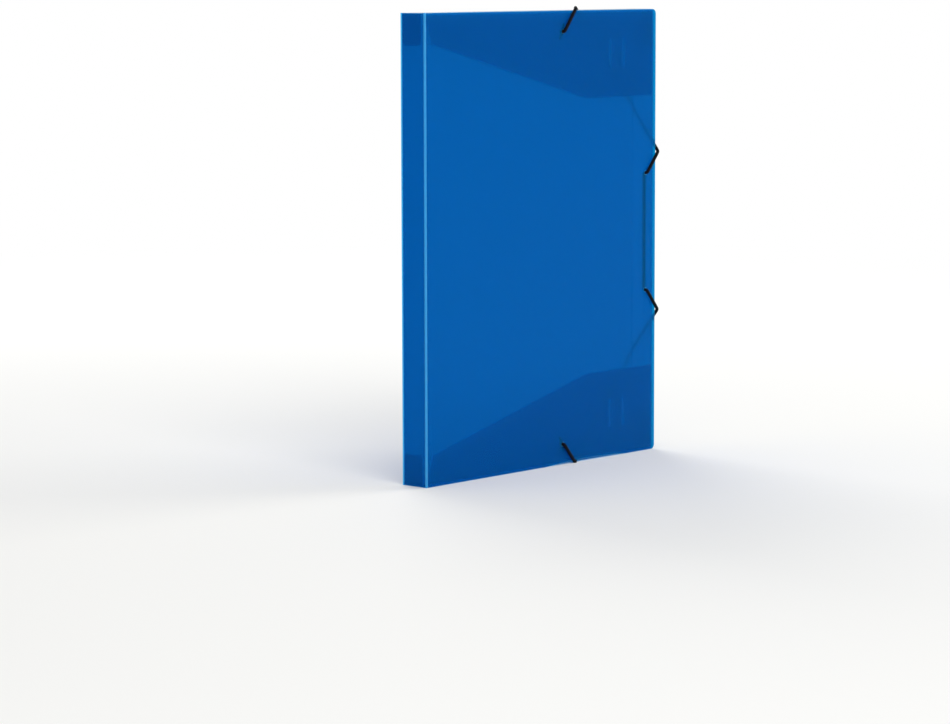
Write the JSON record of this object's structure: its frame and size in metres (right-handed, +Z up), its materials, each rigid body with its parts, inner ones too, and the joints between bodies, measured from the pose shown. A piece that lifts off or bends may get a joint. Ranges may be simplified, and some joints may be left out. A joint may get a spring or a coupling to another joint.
{
  "type": "elasticated file box",
  "caption": "Slim translucent plastic box for papers, folded from creased sheet, with a hinged cover, inner flaps and an elastic cord that hooks over its corners.",
  "frame": {"origin": "middle of the box's resting face, under the standing box", "axes": "+Z up along the box's height, +X from the spine to the fore-edge, the cover faces -Y"},
  "size_m": [0.2476, 0.0272, 0.3226],
  "materials": {
    "blue_sheet": "smooth translucent polypropylene sheet",
    "crease": "creased polypropylene, lighter where it is folded",
    "elastic": "black braided elastic cord",
    "cord_end": "moulded plastic cord end"
  },
  "bodies": {
    "tray": {"back_panel": "blue_sheet", "top_wall": "blue_sheet", "bottom_wall": "blue_sheet", "fore_edge_wall": "blue_sheet", "top_spine_ear": "blue_sheet", "bottom_spine_ear": "blue_sheet", "top_corner_tab": "blue_sheet", "bottom_corner_tab": "blue_sheet"},
    "spine": {"spine_panel": "blue_sheet", "spine_back_crease": "crease"},
    "cover": {"front_cover": "blue_sheet", "spine_cover_crease": "crease", "elastic_cord": "elastic", "upper_cord_barb": "cord_end", "lower_cord_barb": "cord_end"},
    "top_flap": {"top_flap": "blue_sheet", "top_flap_crease": "crease"},
    "bottom_flap": {"bottom_flap": "blue_sheet", "bottom_flap_crease": "crease"}
  },
  "joints": [
    {"name": "spine_hinge", "type": "hinge", "parent": "tray", "child": "spine", "pos_m": [-0.1219, 0.01065, 0.16], "axis": [0, 0, -1], "range_deg": [0, 90], "deforming": ["elastic_cord"]},
    {"name": "cover_hinge", "type": "hinge", "parent": "spine", "child": "cover", "pos_m": [-0.1219, -0.01065, 0.16], "axis": [0, 0, -1], "range_deg": [0, 180], "deforming": ["elastic_cord"]},
    {"name": "top_flap_hinge", "type": "hinge", "parent": "tray", "child": "top_flap", "pos_m": [0, -0.00765, 0.3194], "axis": [-1, 0, 0], "range_deg": [0, 90]},
    {"name": "bottom_flap_hinge", "type": "hinge", "parent": "tray", "child": "bottom_flap", "pos_m": [0, -0.00765, 0.0006], "axis": [1, 0, 0], "range_deg": [0, 90]}
  ],
  "couplings": [
    {"joint": "top_flap_hinge", "follows": "cover_hinge", "ratio": 0.5},
    {"joint": "bottom_flap_hinge", "follows": "cover_hinge", "ratio": 0.5}
  ]
}
